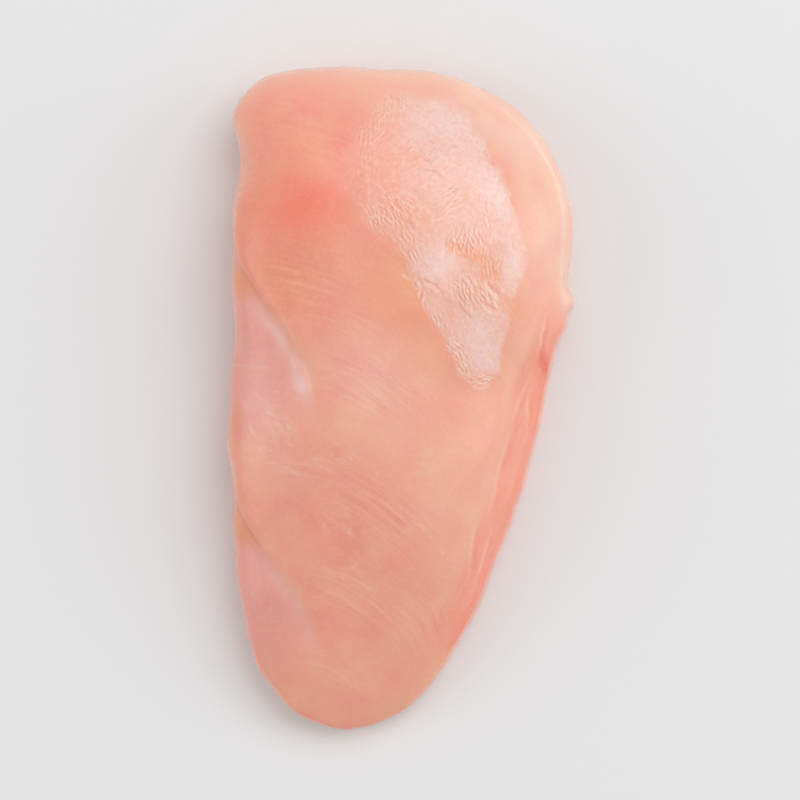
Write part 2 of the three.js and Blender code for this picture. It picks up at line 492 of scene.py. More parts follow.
def fibres():
    gathered = 0.15 + 0.85 * ease(-0.1, 0.3, hills(16, 10))  # some stretches show them more than others
    bundles = (0.07 + 0.11 * on_side) * hills((20, 2.8, 20), 13, fibre_space)
    threads = (0.035 + 0.025 * on_side) * hills((12, 1.5, 8), 14, fibre_space)
    muscle = (1 - 0.8 * membrane) * (1 - rib_meat) * (1 - 0.5 * lip_masks["sheet"])
    return (bundles + threads) * gathered * muscle


# %% [markdown]
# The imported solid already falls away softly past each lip. Close up, the edge of the muscle is
# crisper: the sheet drops a fifth of a millimetre over a short step, and a low bead runs along the
# edge, where the muscle curls over.

# %% The lips' crisp edges
def lip_edges():
    height = -0.2 * lip_masks["step"]
    for lip in LIPS:
        past, share = past_lip(points, lip)
        ends = ease(-0.2, 0.1, share) * (1 - ease(0.6, 1.0, share))
        height = height + 0.05 * ends * bell(past + 2.2 + 0.5 * hills(9, 15), 2.0)
    return height


# %% [markdown]
# On its sides the meat sags over its own foot and wrinkles a little. A few shallow creases run round
# the side at different heights. Each wanders up and down, and each comes and goes.

# %% Creases round the sides
# Each crease has its height above the floor and its depth, both in mm, and a seed.
CREASES = [(4.5, 0.4, 61), (9.0, 0.3, 62), (14.0, 0.22, 63), (19.0, 0.16, 64)]


def side_creases():
    total = 0 * Z
    for height, deep, seed in CREASES:
        level = height + 2.5 * hills((34, 34, 12), seed) + 0.5 * hills(6, seed)
        comes_and_goes = ease(0.0, 0.35, hills((18, 18, 30), seed + 10))
        total = total - deep * comes_and_goes * bell(Z - level, 0.9)
    return total * on_side


# %% [markdown]
# The membrane is a film that has come loose here and there. Where it sits tight it is smooth, with
# a little slack. Where it is loose it crinkles into ripples a bit over a millimetre apart, and each
# is only a few millimetres long. One sine wave would make them as straight as corduroy. So thousands
# of wavelets are strewn over the film instead. A wavelet is a small patch of two or three ripples
# that dies away on all sides. Each has its own direction, taken from the crinkled stretches above
# and from a little chance, and where wavelets overlap their ripples join, fork and end, as the real
# ones do.

# %% Strew wavelets over the membrane
SPACING = 1.08  # mm from one ripple to the next
WAVELET = (1.25, 0.8)  # mm: how far a wavelet reaches along its ripples and across them
WAVELETS_PER_MM2 = 1.8


def crinkle_field(spots):
    """How strongly the film crinkles at each spot, and which way its ripples run there, in radians."""
    strengths = np.stack([crinkle_strength(spots, patch) for patch in CRINKLES])
    pull = strengths ** 2 + 1e-9
    doubled = 2 * np.radians([patch.run for patch in CRINKLES])[:, None]  # 5 and 175 degrees are alike
    direction = np.arctan2((pull * np.sin(doubled)).sum(0), (pull * np.cos(doubled)).sum(0)) / 2
    return strengths.max(0), direction


def wavelets():
    """The ripples at every point, with a spread of about 0.5 wherever there is membrane."""
    draw = np.random.default_rng(12)
    lowest, highest = silverskin_ring.min(0) - 3, silverskin_ring.max(0) + 3
    count = int(WAVELETS_PER_MM2 * np.prod(highest - lowest))
    middles = draw.uniform(lowest, highest, (count, 2))
    direction = crinkle_field(middles)[1] + draw.normal(0, 0.27, count)
    start = draw.uniform(0, 2 * math.pi, count)
    spacing = SPACING * draw.uniform(0.85, 1.2, count)
    film = np.flatnonzero(membrane_depth > -3)
    film = film[np.argsort(X[film])]
    height, overlap = np.zeros(len(points)), np.full(len(points), 0.05)
    reach = 2 * WAVELET[0]
    for (x, y), run, phase, gap in zip(middles, direction, start, spacing):
        first, last = np.searchsorted(X[film], (x - reach, x + reach))
        near = film[first:last]
        near = near[abs(Y[near] - y) < reach]
        dx, dy = X[near] - x, Y[near] - y
        lengthwise = dx * math.cos(run) + dy * math.sin(run)
        crosswise = dy * math.cos(run) - dx * math.sin(run)
        fading = bell(lengthwise, WAVELET[0]) * bell(crosswise, WAVELET[1])
        height[near] += fading * np.sin(2 * math.pi * crosswise / gap + phase)
        overlap[near] += fading ** 2
    return np.tanh(0.9 * height / np.sqrt(overlap))


crinkled_skin = np.maximum(crinkle_field(points)[0] + 0.3 * hills(3.5, 43), 0.17 + 0.2 * hills(5, 44))
crinkled_skin = np.clip(crinkled_skin, 0, 1) * ease(-1.8, 0.4, membrane_depth)
ripples = wavelets() * crinkled_skin
print(f"ripples spread {ripples[crinkled_skin > 0.5].std():.2f} where the film is loose")

# %% [markdown]
# A few folds stand out from the crowd, so they are drawn one by one: a short bowed line each, with
# a width and a height. A height below zero makes a crease.

# %% Single folds and creases in the membrane
Line = namedtuple("Line", "start end bow wide high", defaults=[1.0])
FOLD_HEIGHT, RIPPLE_HEIGHT = 0.08, 0.075  # mm
FOLDS = [Line(*row) for row in [
    ((22.3, 32.5), (27.3, 27.2), 0.5, 0.55, 1.0), ((23.4, 33.4), (28.2, 27.8), 0.5, 0.5, -0.9),
    ((22.4, 26.0), (26.8, 23.0), 0.5, 0.55, 0.8), ((22.2, 27.6), (26.6, 24.2), 0.4, 0.5, -1.0),
    ((25.8, 29.0), (27.6, 22.6), 0.5, 0.5, 0.6), ((15.4, 26.6), (20.4, 22.0), 0.3, 0.45, -0.9),
    ((16.4, 27.2), (20.8, 23.0), 0.3, 0.4, 0.5), ((5.2, 33.2), (12.6, 28.4), -0.5, 0.4, -0.8),
    ((5.0, 32.0), (12.0, 27.6), -0.5, 0.45, 0.5), ((-0.6, 35.3), (3.2, 32.2), 0.3, 0.45, 0.7),
    ((-1.6, 50.6), (3.6, 47.6), 0.3, 0.4, -0.9), ((-1.0, 84.0), (2.9, 80.9), 0.8, 0.35, -0.5),
    ((5.0, 63.0), (12.4, 60.0), -1.0, 0.38, -0.9), ((6.4, 66.2), (9.4, 64.7), 0.2, 0.35, -0.8),
    ((11.2, 59.0), (17.6, 57.4), 0.6, 0.35, -0.7), ((24.0, 55.2), (27.4, 52.0), 0.3, 0.35, -0.5),
    ((11.5, 28.0), (15.6, 26.2), 0.3, 0.4, -0.5), ((7.9, 71.1), (9.9, 70.0), 0.2, 0.35, -0.7),
    ((14.0, 70.1), (16.0, 69.1), 0.2, 0.35, -0.65), ((18.6, 74.3), (20.4, 72.3), -0.2, 0.35, -0.6),
    ((20.6, 72.0), (22.2, 69.8), 0.2, 0.35, -0.6), ((22.8, 69.0), (24.4, 66.6), 0.3, 0.35, -0.65),
    ((24.5, 65.8), (26.5, 63.4), -0.3, 0.38, -0.7),
]]


def on_line(spots, line):
    """1 along the middle of a short bowed line, falling to 0 beside it and past its ends."""
    aside, share = beside(spots, line.start, line.end)
    aside = aside - line.bow * np.sin(math.pi * np.clip(share, 0, 1))
    ends = ease(-0.15, 0.4, share) * (1 - ease(0.6, 1.15, share))
    return ends * bell(aside, line.wide)


wavering = points + 0.4 * np.column_stack([hills(2.5, 44), hills(2.5, 45), 0 * Z])
folds = sum(fold.high * on_line(wavering, fold) for fold in FOLDS) * ease(-1, 1, membrane_depth + 2)
print("single folds:", len(FOLDS))


def silverskin_relief():
    film = 0.06 * membrane
    slack = 0.06 * hills((4, 2.2, 4), 17, fibre_space) * membrane
    return film + slack + RIPPLE_HEIGHT * ripples + FOLD_HEIGHT * folds


# %% [markdown]
# Rib meat is a thin strip of another muscle. Its strands run lengthwise, parallel to the edge, so
# its noise is stretched along Y and measured across by the distance from the outline.
#
# A few strands stand out, each with a furrow on its outer side, so they are drawn one by one.

# %% The strands of the rib meat
strand_space = np.column_stack([rim_depth, Y, Z])
STRANDS = [Line(*row) for row in [
    ((41.0, 25.5), (38.6, 12.5), 0.5, 0.4), ((39.0, 22.0), (37.2, 9.0), -0.4, 0.4),
    ((37.0, 8.0), (31.2, -6.0), 0.5, 0.45), ((35.9, 2.5), (35.2, -7.5), 0.3, 0.4),
    ((31.0, -7.0), (24.5, -34.0), 0.4, 0.55), ((21.0, -34.0), (19.0, -51.0), 0.4, 0.5),
    ((25.6, -34.0), (20.4, -52.0), -0.5, 0.4),
]]
FURROW_ASIDE = 1.1  # mm outwards of its strand


def furrow(strand):
    """The line beside a strand, a little wider than the strand itself."""
    (sx, sy), (ex, ey) = strand.start, strand.end
    return Line((sx + FURROW_ASIDE, sy), (ex + FURROW_ASIDE, ey), strand.bow, 1.7 * strand.wide)


pale_strands = sum(on_line(wavering, strand) for strand in STRANDS)
furrows = sum(on_line(wavering, furrow(strand)) for strand in STRANDS)


def strands():
    ridges = 0.1 * hills((3.4, 26, 4), 18, strand_space) + 0.03 * hills((1.5, 18, 2), 19, strand_space)
    groove = -0.22 * bell(rim_depth - 8 + 1.4 * hills(12, 5), 1.3)
    groove = groove * ease(12, 18, X) * (1 - ease(14, 30, Y)) * ease(-80, -62, Y)
    return rib_meat * ridges + groove + 0.06 * pale_strands - 0.05 * furrows


# %% [markdown]
# Where the rib meat starts, the right-hand rim ends in a small pointed knob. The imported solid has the
# knob as a soft swelling, so only its tip and the fuller stretches beside it are missing.

# %% The knob's tip
# Each bump has its place along Y, its half-width and its height, all in mm.
RIM_BUMPS = [(27.0, 2.2, 0.9), (20.5, 3.2, 0.8), (36.0, 3.0, 0.4)]


def rim_bumps():
    on_rim = ease(5, 1, rim_depth) * ease(30, 38, X) * (1 - ease(15, 22, Z))
    return on_rim * sum(high * bell(Y - y, wide) for y, wide, high in RIM_BUMPS)


# %% [markdown]
# The reliefs are now added up and die away towards the floor. Each point moves along its own
# direction by the height found for it.

# %% Press all of it into the mesh
relief = lumps() + fibres() + lip_edges() + side_creases() + silverskin_relief() + strands() + rim_bumps()
relief = relief * above_floor
points = points + facing * relief[:, None]
points[:, 2] = np.maximum(points[:, 2], 0)
breast.data.vertices.foreach_set("co", (points * MM).astype(np.float32).ravel())
breast.data.polygons.foreach_set("use_smooth", [True] * len(breast.data.polygons))
breast.data.update()
print(f"relief from {relief.min():.2f} to {relief.max():.2f} mm")

# %% [markdown]
# ## Painting the large areas of colour
#
# Raw chicken isn't one pink. It is redder where blood stayed in the muscle, more orange beside the membrane,
# and paler over the belly. Near the thin rim it is painted paler too, a painted rim light where light comes
# through the edge. These changes are broad and soft, so they are painted on the points, as a painter lays in
# washes, and the material adds the fine texture.

# %% Washes of colour
def linear(red, green, blue):
    """A colour as seen on a screen, 0 to 255, in the linear numbers that a renderer adds up."""
    seen = np.array([red, green, blue]) / 255
    return np.where(seen <= 0.04045, seen / 12.92, ((seen + 0.055) / 1.055) ** 2.4)


FLESH = (243, 170, 144)
flesh_paint = np.tile(linear(*FLESH), (len(points), 1))


def wash(mask, colour):
    """Lays a thin coat of colour wherever the mask is above 0."""
    mask = np.clip(mask, 0, 1)[:, None]
    flesh_paint[:] = flesh_paint * (1 - mask) + linear(*colour) * mask


def spot(x, y, across_x, across_y, turn=0):
    """A soft oval mask, turned counterclockwise by some degrees, with a slightly uneven edge."""
    return oval(X - x + uneven_x, Y - y + uneven_y, across_x, across_y, turn)


uneven_x, uneven_y = 2.0 * hills(11, 31), 2.0 * hills(11, 32)  # mm

# Each wash has its strength, its oval (middle, half-width, half-height, turn) and its colour.
BROAD_WASHES = [
    (0.75, (-24, 76, 26, 22), (251, 154, 132)),  # salmon at the shoulder's corner
    # painted rim light: the thin shoulder end is painted paler, as if lit through
    (0.85, (8, 92, 40, 13), (255, 197, 174)),  # pale peach along the shoulder end
    (0.85, (-26.5, 53, 13.5, 9, 8), (251, 124, 100)),  # blush where blood stayed
    (0.65, (-34, 34, 16, 20), (240, 144, 114)),
    (0.75, (-1, 26, 8, 14, 22), (247, 167, 129)),  # amber beside the membrane
    (0.65, (9, 3, 8, 16, 24), (247, 183, 146)),
    (0.75, (-8, 6, 15, 12, -35), (246, 186, 172)),  # paler, pinker belly
    (0.6, (20, -20, 14, 20), (246, 182, 158)),
    (0.5, (-1, -9, 14, 10), (248, 192, 166)),
    (0.6, (-27, -20, 14, 14), (237, 168, 148)),
    (0.6, (-16, -38, 20, 13), (238, 158, 132)),
    # painted rim light: the thin right-hand edge is painted paler
    (0.75, (42, 56, 9, 38), (255, 208, 190)),  # peach towards the thin rim
    (0.6, (38, 22, 8, 14), (255, 190, 168)),
    (0.4, (22, 86, 9, 4, -35), (255, 190, 168)),
    (0.45, (30, 8, 6, 9), (254, 186, 160)),
    (0.45, (34, 61, 3.5, 13), (254, 204, 184)),
    (0.5, (8, -27, 10, 10), (247, 190, 166)),
    # painted broad highlight along the upper-right rim, in this wash and the next
    (0.5, (29, 76, 14, 5, -47), (255, 224, 208)),
    (0.5, (25, 73, 9, 4, -52), (252, 216, 198)),
    (0.4, (24, 80.5, 8, 2, -28), (252, 172, 146)),
    (0.35, (-44, 48, 5, 22), (240, 130, 106)),
    (0.45, (13, 82.5, 6, 2.5), (255, 224, 210)),
    (0.4, (41, 61, 4, 8, 12), (240, 178, 154)),
    (0.35, (-42, -28, 5, 8), (236, 138, 110)),
    (0.35, (18, -45, 7, 6), (255, 186, 164)),
]
for strength, shape, colour in BROAD_WASHES:
    wash(strength * spot(*shape), colour)


def paint_range():
    return f"{flesh_paint.min(0).round(2)} to {flesh_paint.max(0).round(2)}"


print("washes laid:", paint_range())

# %% [markdown]
# Between the broad washes the flesh is mottled: small tan clouds and small pink ones, a few
# millimetres wide, drift over it. They only shift the colour that is already there.

# %% Mottling
def tint(mask, red, green, blue):
    """Multiplies the paint by a tint, as strongly as the mask says."""
    flesh_paint[:] = flesh_paint * (1 + np.clip(mask, -1, 1)[:, None] * (np.array([red, green, blue]) - 1))


bare_muscle = (1 - membrane) * (1 - 0.5 * rib_meat)
tint(bare_muscle * (hills(10, 35) + 0.6 * hills(4, 36)), 1.0, 1.09, 1.02)
tint(bare_muscle * (hills(9, 37) + 0.6 * hills(4, 38)), 1.0, 0.93, 0.96)
print("mottled:", paint_range())

# %% [markdown]
# The silverskin is a whitish film. Where it lies double or stands off the muscle it is nearly white, and
# where it is tight the flesh shows through. A few soft patches say where; the brightest of them are partly
# painted sheen, where the glossy film catches the lamp. A gap across its middle shows the flesh bare.

# %% The silverskin's light and dark patches
FILM_AND_SHEEN_COLOUR, BARE_COLOUR = (249, 224, 219), (244, 166, 122)
MILKY_AND_SHEEN_PATCHES = [
    (0.42, (17, 71, 9.5, 10)), (0.28, (10, 78, 8, 5)), (0.55, (27, 56, 9, 3.8, -68)),
    (0.45, (30.5, 37, 2.8, 7)), (0.6, (10.5, 37, 6, 4.8)), (0.48, (22.5, 16, 7, 10, 15)),
    (0.22, (11, 26.5, 5, 4)), (0.2, (13, 56, 10, 8)), (-0.08, (-6, 61, 6, 7)), (0.12, (4, 72, 7, 8)),
    (0.22, (22, 46, 7, 6)), (0.08, (10, 46, 8, 5)), (0.2, (25, 69, 3.5, 6, 30)),
]
BARE_PATCHES = [
    (0.65, (23.4, 35, 1.6, 3.6, -12)), (0.6, (26.6, 34, 1.3, 4.2, -8)),
    (0.5, (31.5, 25, 4, 3, -25)), (0.3, (5, 50, 6, 4)),
]
# film holds the milky film and, in its brightest patches, a painted sheen
film = 0.17 + 0.13 * hills(5, 33) + 0.07 * hills(1.6, 34)
for strength, shape in MILKY_AND_SHEEN_PATCHES:
    film = film + strength * spot(*shape)
wash(membrane * film, FILM_AND_SHEEN_COLOUR)
gap = ease(0.3, 0.55, spot(18.2, 39.6, 7, 1.9, -32))  # the only patch with a crisp edge
wash(0.7 * gap, BARE_COLOUR)
for strength, shape in BARE_PATCHES:
    wash(strength * spot(*shape), BARE_COLOUR)
print(f"the film is up to {film.max():.0%} milky")

# %% [markdown]
# Threads of connective tissue lie on the muscle in groups, a dozen or so side by side. The material
# draws them. Here it only says where the groups are, and noise adds weaker ones on the sides.

# %% Where threads show
THREAD_GROUPS = [
    (1.0, (-8, 4, 14, 7, -20)), (0.7, (-14, 20, 9, 3.5, -15)), (0.9, (-4, -30, 14, 8, -35)),
    (0.5, (-26, 33, 13, 8, -8)), (0.4, (-20, 70, 14, 5, -8)), (0.3, (-33, 79, 10, 7, -5)),
    (0.5, (-31, -17, 10, 4, -12)), (0.6, (-17, -17, 5, 4, -40)), (0.6, (-16, -52, 13, 8, -35)),
    (0.5, (7, -60, 12, 8, -45)), (0.5, (-19, -74, 12, 6, -30)),
]
side_threads = 0.55 * on_side * ease(-0.1, 0.3, hills(14, 41))
threads = np.maximum(sum(strength * spot(*shape) for strength, shape in THREAD_GROUPS), side_threads)
threads = np.clip(threads, 0, 1) * (1 - membrane) * (1 - rib_meat)
print(f"threads on {(threads > 0.3).mean():.0%} of the points")

# %% [markdown]
# Below the upper lip the sheet turns milky, and a few pale wisps of torn film lie on it. More of them lie in
# loose clusters on the muscle. The boldest are listed one by one. The others are strewn by a seeded random
# draw, which gives the same wisps every time.

# %% Wisps on the sheet
WISPS = [Line(*row) for row in [
    ((-46.0, 9.4), (-33.8, 8.2), -0.5, 0.4), ((-37.5, -1.6), (-32.5, -3.6), 1.2, 0.6),
    ((-36.6, -0.6), (-31.6, -5.2), 1.6, 0.35), ((-38.4, -4.0), (-34.8, -12.4), -1.6, 0.35),
    ((-41.4, -5.0), (-38.2, -11.0), 1.2, 0.35), ((-34.4, -5.4), (-28.6, -7.0), -1.4, 0.35),
    ((-31.0, -5.0), (-26.8, -11.5), 1.4, 0.35), ((-43.0, -13.4), (-35.6, -15.4), -0.9, 0.35),
    ((-37.0, -16.5), (-28.5, -18.0), 0.9, 0.45), ((-31.5, -17.8), (-26.5, -20.6), 0.5, 0.45),
]]


def small_wisps(middle, spread, count, steepest, seed):
    """Short bowed wisps, strewn round a place. They run at steepest degrees or flatter."""
    draw = np.random.default_rng(seed)
    found = []
    for _ in range(count):
        x, y = draw.normal(middle, spread)
        run, half = math.radians(draw.uniform(steepest, steepest + 60)), draw.uniform(0.8, 2.4)
        dx, dy = half * math.cos(run), half * math.sin(run)
        bow, wide = draw.uniform(-0.6, 0.6), draw.uniform(0.32, 0.5)
        found.append(Line((x - dx, y - dy), (x + dx, y + dy), bow, wide))
    return found


# Each cluster has its middle, its spread both ways, its count, its steepest run and a seed.
WISP_CLUSTERS = [
    ((-33, -7), (5.5, 6), 22, -70, 21), ((11, -17), (4, 2.5), 8, 0, 22), ((-16, -16), (5, 3), 7, -60, 23),
    ((0, -44), (9, 6), 12, -75, 24), ((-18, -35), (4, 2.5), 10, -60, 25), ((-15.5, -47), (2, 2), 6, -60, 26),
]
wisps = WISPS + [wisp for cluster in WISP_CLUSTERS for wisp in small_wisps(*cluster)]
print("wisps:", len(wisps))

# %% Paint the sheets at the lips
wash(0.75 * lip_masks["sheet"], (234, 158, 150))  # the thin sheet is pale lilac
wash(0.85 * lip_masks["wedge"], (236, 148, 102))  # and tan at its top, where fat lies
milky_band = lip_masks["band"] * (0.85 + 0.5 * hills(4, 47))
wash(0.6 * milky_band, (250, 206, 194))  # warm and pale beside the lip's lower half
wash(0.45 * spot(-26.9, 4.0, 3.4, 1.6, -56), (244, 222, 220))  # whitish at the lip's lower end, partly its film and partly a painted highlight
# a darker line along the upper part of each lip's edge, partly its own brown line and partly painted shade
# where the muscle curls over
wash(0.6 * lip_masks["line"], (218, 116, 76))
wash(0.2 * spot(-37, -2, 7, 13, 8), (246, 204, 196))  # a milky haze below it
wash(0.65 * spot(-47, 0, 3.0, 12, 2), (238, 136, 94))  # painted warm bounce light along the keel edge
for wisp in wisps:
    wash(0.19 * on_line(wavering, wisp), (252, 226, 216))

# %% [markdown]
# The rib meat is a redder muscle, deepest towards its edge, with one blood-red crease near its upper end, and
# a painted highlight runs along its very edge. Where the breast thins out to a rim, its fat shows through,
# and a painted glow of light coming through the thin edge lies over it. A fold runs along the rim, its crest
# painted as a pale highlight line. The sides are painted a little deeper than the top, the more so the more
# the surface turns away from facing up.

# %% Paint the rib meat, the rims and the sides
RED_CREASE = Line((39.2, 14.0), (41.3, 4.0), -0.5, 0.9)
wash(0.5 * rib_meat, (255, 157, 134))
wash(0.5 * ease(4.5, 1.0, rim_depth) * rib_meat, (246, 126, 98))
wash(0.25 * furrows, (236, 134, 108))
wash(0.4 * pale_strands, (255, 208, 186))
wash(0.6 * spot(40.4, 9.5, 2.4, 6, 8), (228, 106, 80))
wash(0.45 * on_line(wavering, RED_CREASE), (216, 88, 60))
wash(0.5 * spot(46.5, 27, 3, 4), (255, 222, 204))  # the knob is pale
rib_edge_highlight = bell(rim_depth - 0.3, 0.5) * ease(0.0, 0.3, up) * np.maximum(rib_meat, spot(45, 22, 4, 7))
wash(0.42 * rib_edge_highlight, (255, 218, 202))  # a painted highlight along the very edge of the strip
# painted glow: the thin rim painted paler, partly its own fat showing through and partly light coming through
# the edge
thin_rim_glow = ease(6.5, 0.5, rim_depth) * ease(-0.3, 0.5, up) * ease(18, 40, Y)
thin_rim_glow = thin_rim_glow * ease(-46, -24, X + 0.5 * (Y - 58))
wash(0.42 * thin_rim_glow * (0.75 + 0.5 * hills(9, 39)), (255, 214, 192))
# a fold along the rim, its crest painted as a pale highlight line
rim_highlight_line = bell(rim_depth - 2.6 - 0.6 * hills(14, 40), 0.6) * ease(20, 34, X) * ease(24, 38, Y)
wash(0.5 * rim_highlight_line * (1 - ease(76, 87, Y)) * (0.8 + 0.5 * hills(9, 46)), (255, 232, 212))
# the sides painted a little deeper than the top, by how far the surface turns from facing up
wash(0.35 * ease(0.6, -0.2, up), (238, 152, 130))
print("all washes laid:", paint_range())

# %% [markdown]
# The muscle is wettest on its bare sides. The top, the film, the sheets and the rims are drier.

# %% How wet the surface is
drier_rims = np.maximum(lip_masks["sheet"], ease(15, 6, rim_depth)) * ease(0.35, 0.7, up)
wetness = np.clip(1.0 - 0.68 * ease(0.5, 0.9, up) - 0.05 * membrane - 0.5 * drier_rims, 0.2, 1.0)
print(f"wetness from {wetness.min():.2f} to {wetness.max():.2f}")

# %% [markdown]
# A material can't see these arrays. It reads attributes: named layers on the mesh with one value for
# each point, which Blender blends smoothly between the points.

# %% Hand the paint and the masks to the mesh
def paint_layer(name, values, kind="FLOAT"):
    """Stores one value for each point under a name that the material can read."""
    layer = breast.data.attributes.new(name, kind, "POINT")
    field = "color" if kind == "FLOAT_COLOR" else "value"
    layer.data.foreach_set(field, np.ascontiguousarray(values, np.float32).ravel())


paint_layer("flesh_paint", np.column_stack([flesh_paint, np.ones(len(points))]), "FLOAT_COLOR")
for name, values in {
    "along": along, "across": across, "rim_depth": rim_depth, "membrane": membrane, "rib_meat": rib_meat,
    "ripples": ripples + 0.6 * folds, "threads": threads, "wetness": wetness,
}.items():
    paint_layer(name, values)
print("layers:", [a.name for a in breast.data.attributes if not a.is_internal])

# %% [markdown]
# ## The flesh material
#
# Raw chicken is translucent: light goes in, spreads a few millimetres, red farthest, and comes out
# again. That is subsurface scattering. Over it lies a film of moisture, which a clear coat gives.
# The fine pattern is drawn by noise textures that read the fibre coordinates painted above, so the
# fibres follow the muscle round every curve.

# %% Helpers for building the material
meat = bpy.data.materials.new("raw chicken flesh")
meat.use_nodes = True
tree = meat.node_tree
tree.nodes.clear()


def node(kind, label="", **settings):
    made = tree.nodes.new("ShaderNode" + kind)
    made.label = label
    for name, value in settings.items():
        setattr(made, name, value)
    return made


def plug(source, socket):
    """Links a source to a socket, or sets the socket when the source is a plain number or colour."""
    if isinstance(source, bpy.types.NodeSocket):
        tree.links.new(source, socket)
    else:
        socket.default_value = source


def layer(name):
    """Reads a layer that was stored on the mesh."""
    found = node("Attribute", name, attribute_name=name, attribute_type="GEOMETRY")
    return found.outputs["Color" if name == "flesh_paint" else "Fac"]


def calc(operation, *values):
    """One step of arithmetic on numbers and sockets."""
    made = node("Math", operation=operation)
    for value, socket in zip(values, made.inputs):
        plug(value, socket)
    return made.outputs[0]


def between(value, low_in, high_in, low_out=0.0, high_out=1.0):
    """Stretches the range of a value, smoothly, and keeps it inside the new range."""
    made = node("MapRange", interpolation_type="SMOOTHSTEP")
    for given, name in ((value, "Value"), (low_in, "From Min"), (high_in, "From Max"),
                        (low_out, "To Min"), (high_out, "To Max")):
        plug(given, made.inputs[name])
    return made.outputs[0]


def blend(amount, under, over, way="MIX"):
    """Lays one colour over another by an amount from 0 to 1."""
    made = node("Mix", data_type="RGBA", blend_type=way)
    plug(amount, made.inputs[0])
    plug(under, made.inputs[6])
    plug(over, made.inputs[7])
    return made.outputs[2]


def grain(coordinates, pitches, detail, rough=0.5):
    """Noise over three coordinates. A pitch is about how many grains lie on a millimetre of its own."""
    where = node("CombineXYZ")
    for coordinate, pitch, socket in zip(coordinates, pitches, where.inputs):
        plug(calc("MULTIPLY", coordinate, pitch), socket)
    made = node("TexNoise", noise_dimensions="3D")
    plug(where.outputs[0], made.inputs["Vector"])
    made.inputs["Scale"].default_value = 1.0
    made.inputs["Detail"].default_value = detail
    made.inputs["Roughness"].default_value = rough
    return made.outputs["Fac"]


def screen(red, green, blue):
    """A colour as seen on a screen, as the shader wants it."""
    return (*linear(red, green, blue), 1.0)


# %% Coordinates the patterns read
position = node("TexCoord").outputs["Object"]
place = node("SeparateXYZ")
plug(position, place.inputs[0])
x_mm, y_mm, z_mm = [calc("DIVIDE", distance, MM) for distance in place.outputs]
fibre_along, fibre_across = layer("along"), layer("across")
on_membrane, on_rib_meat = layer("membrane"), layer("rib_meat")

# %% [markdown]
# Fibres show as thin pale lines. A noise that is stretched along the muscle crosses its middle value
# along thin lines, so everything close to that value is picked out. The layer that was painted for
# the groups says where they show.

# %% Pale fibre lines
def thin_lines(pattern, width):
    """1 where a noise crosses its middle value, falling to 0 beside it."""
    return between(calc("ABSOLUTE", calc("SUBTRACT", pattern, 0.5)), 0.0, width, 1.0, 0.0)


thread_noise = grain((fibre_along, fibre_across, z_mm), (0.035, 0.55, 0.05), 3.0, 0.6)
thread_groups = layer("threads")
line_strength = calc("MULTIPLY", thin_lines(thread_noise, 0.02), thread_groups)
colour = blend(calc("MULTIPLY", line_strength, 0.32), layer("flesh_paint"), screen(255, 226, 206))

# %% [markdown]
# Between the lines the muscle is finely striped along its fibres, and the flesh is a little grainy.
# Both are so faint that they are felt more than seen: a stretched noise and an even one shift the
# colour a few hundredths both ways. One function does this for every pattern that follows.

# %% Faint stripes and grain
def two_tones(under, where, pattern, middle, reach, tones):
    """Lightens a colour where the pattern lies above its middle, and darkens it where it lies below."""
    for (strength, tone), end in zip(tones, (middle + reach, middle - reach)):
        amount = calc("MULTIPLY", between(pattern, middle, end, 0.0, strength), where)
        under = blend(amount, under, screen(*tone))
    return under


# Strength and colour, first of the light tone and then of the dark one.
STRIPE_TONES = (0.2, (255, 216, 196)), (0.16, (226, 132, 108))
GRAIN_TONES = (0.1, (255, 214, 190)), (0.1, (224, 132, 108))
stripe_noise = grain((fibre_along, fibre_across, z_mm), (0.07, 0.75, 0.08), 2.0, 0.6)
plain_muscle = calc("SUBTRACT", 1.0, calc("MAXIMUM", on_membrane, on_rib_meat))
striped = calc("MULTIPLY", between(thread_groups, 0.0, 0.7, 0.07, 1.0), plain_muscle)
colour = two_tones(colour, striped, stripe_noise, 0.5, 0.2, STRIPE_TONES)
fine_grain = grain((x_mm, y_mm, z_mm), (0.9, 0.9, 0.9), 3.0, 0.6)
colour = two_tones(colour, 1.0, fine_grain, 0.5, 0.22, GRAIN_TONES)

# %% [markdown]
# On top of each ripple of the silverskin the film is stretched and pale, and the crests get a painted
# highlight too. Between the ripples the orange flesh shows, deepened by painted shade, and the membrane's
# creases get the same painted shade. The ripples' own height, stored on the mesh, tells which is which.

# %% The ripples' colour
RIPPLE_TONES_AND_SHADING = (0.5, (255, 228, 210)), (0.5, (222, 148, 120))
colour = two_tones(colour, 1.0, layer("ripples"), 0.0, 0.55, RIPPLE_TONES_AND_SHADING)

# %% [markdown]
# Seen close, the film is crackled all over, finer than its ripples.

# %% The film's fine crackle
CRACKLE_TONES = (0.22, (255, 232, 222)), (0.2, (230, 158, 134))
crackle = grain((x_mm, y_mm, z_mm), (0.75, 0.75, 0.75), 2.0, 0.65)
colour = two_tones(colour, on_membrane, crackle, 0.5, 0.18, CRACKLE_TONES)

# %% [markdown]
# The rib meat has strands of its own. They are thin pale lines as on the muscle, but they follow the
# outline, and a second noise lets them come up to the surface here and there.

# %% The rib meat's strands
strand_noise = grain((layer("rim_depth"), y_mm, z_mm), (0.5, 0.03, 0.3), 3.0, 0.55)
strand_lines = thin_lines(strand_noise, 0.05)
surfacing = between(grain((x_mm, y_mm, 1.0), (0.1, 0.08, 9.0), 1.0), 0.4, 0.6)
strand_strength = calc("MULTIPLY", calc("MULTIPLY", strand_lines, surfacing), on_rib_meat)
colour = blend(calc("MULTIPLY", strand_strength, 0.16), colour, screen(255, 210, 190))

# %% [markdown]
# Small flecks of fat and connective tissue lie scattered on the muscle. A Voronoi texture gives one
# random number to each cell, and only a few cells in a hundred are given a fleck.

